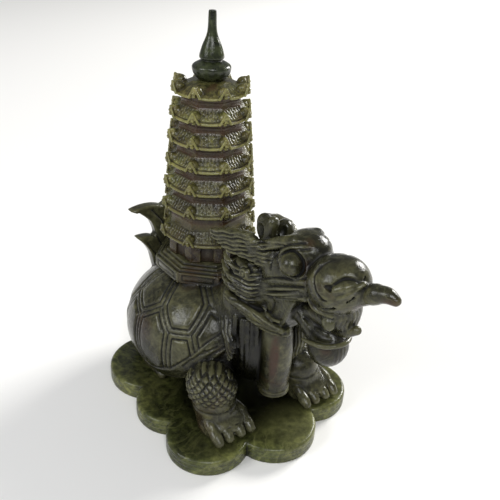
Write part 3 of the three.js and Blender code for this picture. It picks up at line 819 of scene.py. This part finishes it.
# Half an eighth turn, and a face's distance and half width as shares of an octagon's corner radius
HALF_EIGHTH = math.pi / 8
FACE = math.cos(HALF_EIGHTH)
HALF_FACE = math.sin(HALF_EIGHTH)


def octagon(x, y):
    """Distance from an octagon's axis towards the nearest face, and place along the face."""
    angle = np.arctan2(y, x)
    radius = np.sqrt(x * x + y * y)
    folded = (angle + HALF_EIGHTH) % (2 * HALF_EIGHTH) - HALF_EIGHTH
    return radius * np.cos(folded), radius * np.sin(folded)


def add_platform(figure):
    profile = [(0, 53), (32, 53), (32, 79.7), (36.6, 79.7), (37, 80.3), (37, 87.2), (36.5, 87.7)]
    profile += [(34.3, 87.7), (34.3, 89.2), (31.6, 89.2), (31.6, 90.7), (28.9, 90.7), (28.9, 92.2), (0, 92.2)]
    whole = both_halves(np.array(profile) * [FACE, 1])

    def distance(x, y, z):
        u, v = octagon(x, y - PLATFORM_Y)
        plain = polygon_distance(u, z, whole)
        frame_edge = np.maximum(np.abs(v) - 10.6, np.abs(z - 83.7) - 2.2)
        panel = 0.8 * bump(frame_edge, 0.8) * step(u, 33, 33.6)
        return plain + panel + 0.5 * bump(np.abs(v) - 12.4, 0.7) * step(u, 33, 33.6)

    figure.add(Shape((-37, -7, 53), (37, 68, 92.2), distance), 0)


def turtle_carving():
    figure = Carving((-63, -136, -3 * TURTLE_CELL), (63, 95, 152.5), TURTLE_CELL)
    add_shell(figure)
    add_body(figure)
    add_breast(figure)
    add_foreleg(figure, -38, -33, 3, 0)
    add_foreleg(figure, 30, -28, 5, -8.4)
    add_hindleg(figure, -1)
    add_hindleg(figure, 1)
    add_tail(figure)
    add_head(figure)
    add_platform(figure)
    return figure


# Tower

TIERS = 7
EAVE_RADII = [33.4 - 1.38 * tier for tier in range(TIERS)]
EAVE_HEIGHTS = [13.5] + [33.5 + 15 * tier for tier in range(TIERS - 1)]
ROOF_RISE = 9.3
TOP_RISE = 7.3
TOP_RADIUS = 12.1
TOWER_HEIGHT = EAVE_HEIGHTS[-1] + TOP_RISE
OVERHANG = 5.4
LIP = 1.3
RIB_PITCH = 2.25
TILE_PITCH = 2.4
TABLE_STEP = 0.125


def tower_carving():
    """A stepped octagon with tiles, lips, wall mouldings, horns and gables on its storeys, and niches."""
    carving = Carving((-34.5, -34.5, -1.5), (34.5, 34.5, TOWER_HEIGHT + 1.5), TOWER_CELL)
    half = [(0, 0), (EAVE_RADII[0] - OVERHANG, 0)]
    for tier, (radius, eave) in enumerate(zip(EAVE_RADII, EAVE_HEIGHTS)):
        last = tier == TIERS - 1
        rise = TOP_RISE if last else ROOF_RISE
        after = TOP_RADIUS if last else EAVE_RADII[tier + 1] - OVERHANG
        half += [(radius - OVERHANG, eave), (radius, eave), (radius, eave + LIP), (after, eave + rise)]
    half.append((0, TOWER_HEIGHT))
    whole = both_halves(np.array(half) * [FACE, 1])
    x, y, z = carving.places()
    u, v = octagon(x, y)
    steps = np.arange(0, 36, TABLE_STEP)
    table = polygon_distance(steps[:, None], z[0, 0][None, :], whole).astype(np.float32)
    place = (u[:, :, 0] / TABLE_STEP).clip(0, len(steps) - 2.001)
    first = place.astype(int)
    share = (place - first)[:, :, None]
    field = table[first] * (1 - share) + table[first + 1] * share

    side = np.abs(v)
    along_corner = u * FACE + side * HALF_FACE
    off_corner = u * HALF_FACE - side * FACE
    for tier, (radius, eave) in enumerate(zip(EAVE_RADII, EAVE_HEIGHTS)):
        levels = np.flatnonzero((z[0, 0] > eave - 6) & (z[0, 0] < eave + 16))
        part = (slice(None), slice(None), slice(levels[0], levels[-1] + 1))
        zt = z[part] - eave
        face = radius * FACE
        smile = 2.6 * np.clip(side / (radius * HALF_FACE), 0, 1) ** 2.5
        above_lip = zt - 0.8 * smile
        roof = step(above_lip, 2.4, 3.1) * step(zt, 8.9, 8.1) * step(u, face - 7, face - 6)
        lean = v + 0.35 * np.sin(zt * 1.9 + tier)
        shift = 0.31 * np.sin(3 * np.floor(lean / RIB_PITCH) + 2 * tier) + 0.5
        rows = bump((zt / TILE_PITCH + shift) % 1 * TILE_PITCH - TILE_PITCH / 2, 0.5)
        depth = (0.34 * wave(lean, RIB_PITCH) ** 2 + 0.26 * rows) * roof
        depth = depth + 0.9 * bump(above_lip - 2.0, 0.7) * step(u, face - 2.5, face - 1.5)
        depth = depth + 0.3 * bump(above_lip - 0.9, 0.45) * step(u, face - 1.2, face - 0.6)
        under = np.where((zt < 4) & (u > face - OVERHANG * 0.9), smile - zt, -FAR)
        wall = step(zt, -6, -5.6) * step(zt, -0.4, -0.8)
        depth = depth + 0.5 * (bump(zt + 2.0, 0.5) + bump(zt + 3.8, 0.55)) * wall
        field[part] = np.maximum(field[part] + depth, under)

        # A horn at each corner, of a leafy plate on a round body, below a gable of two leaning rods
        disc_z = zt - 4.3
        disc_c = along_corner - (radius + 1 - 4)
        waves = 0.4 * np.sin(2.6 * disc_z + 1.7 * tier)
        leaf = np.maximum(np.sqrt(disc_c**2 + disc_z**2) - 3.8 + waves, off_corner - 1.0)
        body = np.sqrt((disc_c + 1.6) ** 2 + disc_z**2 + (0.95 * off_corner) ** 2) - 3.3
        body = np.maximum(body, along_corner - radius + 1.2)
        field[part] = smooth_min(field[part], np.minimum(leaf, body), 0.3)
        share = np.clip((off_corner * 3.6 - (zt - 7.6) * 6.2) / (3.6**2 + 6.2**2), 0, 1)
        gable = (off_corner - 3.6 * share) ** 2 + (zt - 7.6 + 6.2 * share) ** 2
        gable = np.sqrt(gable + (along_corner - radius + 0.3 + 0.8 * share) ** 2) - 0.85
        field[part] = smooth_min(field[part], gable, 0.2)

    # Arched niches round the ground storey
    niche = np.maximum(side - 4.2, np.abs(z - 4.6) - 4.4)
    arch = np.minimum(niche, np.sqrt(v**2 + (z - 8) ** 2) - 4.2)
    ground = (EAVE_RADII[0] - OVERHANG) * FACE
    door = np.maximum(arch, ground - 1.6 - u)
    carving.field = (-smooth_min(-field, door, 0.4)).astype(np.float32)
    return carving


# Finial

FINIAL_HEIGHT = 40.0
BULB_RADIUS = 12.1
TIP_RADIUS = 2.4


def finial_carving():
    bulb, tip, h = BULB_RADIUS, TIP_RADIUS, FINIAL_HEIGHT
    shape = [
        (bulb * 0.68, 0), (bulb * 0.9, h * 0.07), (bulb, h * 0.16), (bulb * 0.93, h * 0.22),
        (bulb * 0.58, h * 0.28), (bulb * 0.54, h * 0.3), (bulb * 0.64, h * 0.335), (bulb * 0.5, h * 0.49),
        (bulb * 0.25, h * 0.69), (tip, h * 0.97), (tip * 0.7, h),
    ]
    carving = Carving((-13.5, -13.5, -1), (13.5, 13.5, h + 1), FINIAL_CELL)
    carving.add(turned([(0, 0), *smooth_path(shape), (0, h)]), 0)
    return carving


# Stone

def stone(name, deep, mid, light, vein_and_painted_light, hollow_and_shade, rough, patch, stains=0.0, stain=(0.06, 0.025, 0.012)):
    """Polished stone: clouded colour, thin veins, stains, dark unpolished hollows, lighter edges, painted
    light and shade.
    """
    material = bpy.data.materials.new(name)
    material.use_nodes = True
    nodes, links = material.node_tree.nodes, material.node_tree.links
    nodes.clear()

    def node(kind, output, inputs, **settings):
        """An output of a new node. Each input is joined to another output, or set to a number or a colour."""
        made = nodes.new(kind)
        for key, value in settings.items():
            setattr(made, key, value)
        for key, source in inputs.items():
            if isinstance(source, bpy.types.NodeSocket):
                links.new(source, made.inputs[key])
            else:
                made.inputs[key].default_value = (*source, 1) if isinstance(source, tuple) else source
        return made.outputs[output]

    def ramp(source, places):
        """Colours, or numbers for greys, that follow a value from 0 to 1."""
        made = nodes.new("ShaderNodeValToRGB")
        elements = made.color_ramp.elements
        while len(elements) < len(places):
            elements.new(0.5)
        for element, (position, colour) in zip(elements, places):
            element.position = position
            element.color = (*colour, 1) if isinstance(colour, tuple) else (colour, colour, colour, 1)
        links.new(source, made.inputs["Fac"])
        return made.outputs["Color"]

    def mixed(factor, first, second, kind="MIX"):
        inputs = {"Factor": factor, "A": first, "B": second}
        return node("ShaderNodeMix", "Result", inputs, data_type="RGBA", blend_type=kind)

    place = nodes.new("ShaderNodeTexCoord").outputs["Object"]

    def noise(scale, detail=6.0, distortion=0.0, roughness=0.6):
        shape = {"Scale": scale, "Detail": detail, "Roughness": roughness, "Distortion": distortion}
        return node("ShaderNodeTexNoise", "Fac", {"Vector": place, **shape})

    def kept(name, low, high):
        """A value kept with the mesh, from 0 at low to 1 at high."""
        value = node("ShaderNodeAttribute", "Fac", {}, attribute_name=name)
        return node("ShaderNodeMapRange", "Result", {"Value": value, "From Min": low, "From Max": high})

    # Clouds, spots, veins and stains
    clouds = ramp(noise(patch, 7.0, 0.6), [(0.3, deep), (0.5, mid), (0.72, light)])
    spots = ramp(noise(230.0, 5.0), [(0.3, 0.35), (0.5, 0.9), (0.68, (1.9, 1.85, 1.7))])
    colour = mixed(1.0, clouds, spots, "MULTIPLY")
    veins = ramp(noise(patch * 1.6, 5.0, 2.2), [(0.47, 0), (0.5, 1), (0.53, 0)])
    colour = mixed(ramp(veins, [(0, 0), (1, 0.4)]), colour, vein_and_painted_light)
    if stains:
        colour = mixed(ramp(noise(patch * 1.3, 3.0, 1.0), [(0.58, 0), (0.68, stains)]), colour, stain)

    # Lighter edges, marked patches of stain, painted light and painted shade, dark hollows, and painted shade
    # in recesses
    relief = kept("relief", -0.42, 0.42)
    colour = mixed(ramp(relief, [(0.64, 0), (1, 0.6)]), colour, light)
    # Marked patches: stains, and on the slab a painted shadow below the figure; pale patches of painted
    # light, highlights and sheen; dark patches of painted shade
    for mark, mark_colour in (("stain", stain), ("pale", vein_and_painted_light), ("dark", hollow_and_shade)):
        marked = mixed(0.6, ramp(kept(mark, 0, 1), [(0, 0), (1, 1)]), spots, "MULTIPLY")
        colour = mixed(marked, colour, mark_colour)
    hollow = ramp(relief, [(0.05, 1), (0.5, 0)])
    colour = mixed(hollow, colour, hollow_and_shade)
    # Painted shade: darker in wide recesses such as under the head and between the legs, and a little lighter
    # on open parts
    shade = ramp(kept("recess", -2.4, 1.6), [(0, 0.1), (0.5, 0.8), (1, (1.2, 1.2, 1.15))])
    colour = mixed(1.0, colour, shade, "MULTIPLY")

    # Uneven polish, and none in the hollows
    mottle = ramp(noise(patch * 3, 4.0), [(0.3, rough * 0.8), (0.7, rough * 1.35)])
    polish = mixed(hollow, mottle, (0.75, 0.75, 0.75))
    raised = {"Strength": 0.5, "Distance": 0.0006, "Height": noise(330.0, 6.0, 0.4, 0.65)}
    normal = node("ShaderNodeBump", "Normal", raised)
    surface = {"Base Color": colour, "Roughness": polish, "IOR": 1.4, "Normal": normal}
    shown = nodes.new("ShaderNodeOutputMaterial")
    links.new(node("ShaderNodeBsdfPrincipled", "BSDF", surface), shown.inputs["Surface"])
    return material


def placed(origin, turn=0.0):
    """Moves a piece to its origin in the row frame, turned about the upright axis."""
    return Matrix.Translation(Vector([v / METRE for v in origin])) @ Matrix.Rotation(turn, 4, "Z")


def finish_piece(piece, node, material):
    piece.data.materials.append(material)
    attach(piece, "root")
    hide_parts(node)


slab_stone = stone(
    "slab stone", deep=(0.026, 0.03, 0.009), mid=(0.055, 0.063, 0.019), light=(0.15, 0.155, 0.052),
    vein_and_painted_light=(0.2, 0.205, 0.075), hollow_and_shade=(0.008, 0.01, 0.003), rough=0.2, patch=12.0,
    stains=0.4, stain=(0.006, 0.006, 0.003),
)
turtle_stone = stone(
    "turtle stone", deep=(0.008, 0.008, 0.004), mid=(0.026, 0.025, 0.012), light=(0.095, 0.092, 0.048),
    vein_and_painted_light=(0.1, 0.1, 0.055), hollow_and_shade=(0.002, 0.002, 0.001), rough=0.15, patch=24.0,
    stains=0.3, stain=(0.035, 0.013, 0.006),
)
tower_stone = stone(
    "tower stone", deep=(0.03, 0.022, 0.008), mid=(0.066, 0.062, 0.02), light=(0.16, 0.17, 0.055),
    vein_and_painted_light=(0.24, 0.21, 0.08), hollow_and_shade=(0.012, 0.007, 0.003), rough=0.22, patch=34.0,
    stains=0.7, stain=(0.06, 0.032, 0.014),
)
finial_stone = stone(
    "finial stone", deep=(0.005, 0.007, 0.003), mid=(0.014, 0.018, 0.008), light=(0.036, 0.043, 0.02),
    vein_and_painted_light=(0.06, 0.07, 0.03), hollow_and_shade=(0.003, 0.004, 0.002), rough=0.12, patch=40.0,
)


# Marks on the stone: stains, painted light and painted shade

def slab_stain(places):
    """Painted shadow: the slab is darkened below the figure."""
    x, y, _ = places.T
    away = np.hypot((x - FIGURE_OFF_CENTRE) / 50, (y + 18) / 44)
    return 0.95 * step(away, 1.15, 0.75)


def tower_stain(places):
    """The walls below the eaves are browner."""
    x, y, z = places.T
    u, _ = octagon(x, y)
    most = np.zeros(len(places))
    for radius, eave in zip(EAVE_RADII, EAVE_HEIGHTS):
        face = (radius - OVERHANG) * FACE
        wall = step(u, face + 1.6, face + 0.6) * step(z, eave - 7.5, eave - 5.5) * step(z, eave + 0.5, eave)
        most = np.maximum(most, wall)
    return np.maximum(most, 0.8 * step(z, 9, 6))


def tower_painted_light(places):
    """Painted highlights on the lips of the eaves and the horns at their corners, and painted light towards
    +X above the ground storey.
    """
    x, y, z = places.T
    u, v = octagon(x, y)
    most = np.zeros(len(places))
    for radius, eave in zip(EAVE_RADII, EAVE_HEIGHTS):
        face, reach = radius * FACE, radius * HALF_FACE
        above_lip = z - eave - 2.1 * np.clip(np.abs(v) / reach, 0, 1) ** 2.5
        lip = step(u, face - 1.6, face - 0.8) * step(above_lip, -0.9, -0.4) * step(above_lip, 1.9, 1.5)
        horn = step(np.abs(v), reach - 4, reach - 2.6) * step(u, face - 3, face - 1.5)
        horn = horn * step(z - eave, 1, 2) * step(z - eave, 9, 8)
        most = np.maximum(most, np.maximum(0.35 * lip, 0.3 * horn))
    return np.maximum(most, 0.25 * step(x, 8, 22) * step(z, 14, 18))


def tower_painted_shade(places):
    """Painted shade: the ground storey is dark, and the lower storeys are darker towards the left."""
    x, _, z = places.T
    return np.maximum(0.75 * step(z, 12.5, 10), 0.4 * step(z, 85, 20) * step(x, 14, -6))


def marks(centres):
    """Soft patches: each an ellipsoid of a centre, radii and strength."""

    def strength_at(places):
        most = np.zeros(len(places))
        for centre, radii, strength in centres:
            away = np.linalg.norm((places - centre) / radii, axis=1)
            most = np.maximum(most, strength * step(away, 1.3, 0.5))
        return most

    return strength_at


slab_lights = marks([
    ((6, -66, 12), (26, 20, 16), 0.4), ((48, -46, 12), (22, 20, 16), 0.35),
    ((-46, -54, 12), (16, 14, 16), 0.2),
])
turtle_stains = marks([
    ((-7.4, -57.4, 54), (3, 4, 19), 1), ((-8.4, -101.6, 89.6), (4, 4, 3), 0.6),
    ((5, -111, 121.5), (7, 9, 4), 0.7), ((8, -127, 132), (6, 6, 4), 0.8), ((-8.6, -79, 132), (3, 4, 6), 0.6),
    ((-5, -76, 144), (3, 4, 4), 0.4), ((-24, 12, 84), (14, 8, 9), 0.5), ((-57, 22, 50), (8, 11, 10), 0.45),
    ((-12, -4, 86), (8, 6, 7), 0.5),
])
turtle_lights = marks([
    ((-8.6, -101, 108.4), (4, 5, 5.5), 0.5), ((-44, -2, 56), (20, 22, 20), 0.15),
    ((0, 72, 92), (40, 14, 24), 0.2), ((-13, -62, 108), (6, 22, 15), 0.2), ((-35, -56, 6), (20, 9, 9), 0.25),
])
turtle_shadows = marks([
    ((0, -41, 139), (14, 10, 12), 0.65), ((2, -96, 144), (15, 15, 9), 0.3),
    ((0, -94, 84), (16, 16, 12), 0.45), ((0, 30.5, 84), (46, 46, 6), 0.3),
    ((-40, 10, 20), (28, 44, 18), 0.25), ((15, -36, 36), (12, 17, 26), 0.7),
    ((-27, -20, 68), (10, 12, 14), 0.6), ((-17, -40, 48), (14, 18, 40), 0.95),
])

# The four pieces

slab = mesh_piece(
    "carved_slab", slab_carving(), placed((0, 0, 0)), SLAB_TRIANGLES, stain=slab_stain, pale=slab_lights,
)
finish_piece(slab, "lobed_base", slab_stone)
turtle = mesh_piece(
    "carved_turtle", turtle_carving(), placed(FIGURE_ORIGIN),
    stain=turtle_stains, pale=turtle_lights, dark=turtle_shadows,
)
finish_piece(turtle, "dragon_turtle", turtle_stone)
tower = mesh_piece(
    "carved_tower", tower_carving(), placed(TOWER_ORIGIN, TOWER_TURN),
    stain=tower_stain, pale=tower_painted_light, dark=tower_painted_shade,
)
finish_piece(tower, "pagoda_tower", tower_stone)
finial_origin = TOWER_ORIGIN + [0, 0, TOWER_HEIGHT + SEAT_GAP]
finial = mesh_piece("turned_finial", finial_carving(), placed(finial_origin, TOWER_TURN))
finish_piece(finial, "tower_finial", finial_stone)

# Studio
SPAN = 6.0
floor_mesh = bpy.data.meshes.new("floor")
floor_corners = [(-SPAN, -SPAN, 0), (SPAN, -SPAN, 0), (SPAN, SPAN, 0), (-SPAN, SPAN, 0)]
floor_mesh.from_pydata(floor_corners, [], [(0, 1, 2, 3)])
floor = bpy.data.objects.new("floor", floor_mesh)
bpy.context.scene.collection.objects.link(floor)
pale = bpy.data.materials.new("pale floor")
pale.use_nodes = True
matt = pale.node_tree.nodes["Principled BSDF"]
matt.inputs["Base Color"].default_value = (0.9, 0.89, 0.87, 1)
matt.inputs["Roughness"].default_value = 0.9
floor_mesh.materials.append(pale)

bpy.context.scene.view_settings.view_transform = "Standard"
world = bpy.data.worlds.new("studio air")
bpy.context.scene.world = world
world.use_nodes = True
air = world.node_tree.nodes["Background"]
air.inputs["Color"].default_value = (0.95, 0.97, 1, 1)
air.inputs["Strength"].default_value = 0.3


MIDDLE = Vector((0, 0, 0.11))


def soft_light(name, place, size, watts, colour):
    """A square soft light aimed at the middle of the figure."""
    light = bpy.data.lights.new(name, "AREA")
    light.size = size
    light.energy = watts
    light.color = colour
    lamp = bpy.data.objects.new(name, light)
    lamp.location = place
    lamp.rotation_euler = (MIDDLE - lamp.location).to_track_quat("-Z", "Y").to_euler()
    bpy.context.scene.collection.objects.link(lamp)


soft_light("window", (2.3, 0.2, 1.2), 0.9, 72, (1, 0.99, 0.96))
soft_light("left sheen", (-2.2, 0.2, 1.5), 1.0, 27, (0.98, 0.99, 1))
soft_light("front fill", (-1.0, -1.8, 2.0), 1.0, 36, (0.98, 0.99, 1))

# Camera at the photo's angle
CAMERA_PLACE = (-0.2181, -0.3017, 0.3252)
azimuth, pitch, roll = (math.radians(v) for v in (-37.79, 29.28, 3.09))
lens = bpy.data.cameras.new("photo lens")
lens.lens = 46.8
lens.sensor_width = 36
lens.clip_start = 0.01
camera = bpy.data.objects.new("photo camera", lens)
aimed = Matrix.Rotation(azimuth, 4, "Z") @ Matrix.Rotation(math.pi / 2 - pitch, 4, "X")
camera.matrix_world = Matrix.Translation(CAMERA_PLACE) @ aimed @ Matrix.Rotation(roll, 4, "Z")
bpy.context.scene.collection.objects.link(camera)
bpy.context.scene.camera = camera
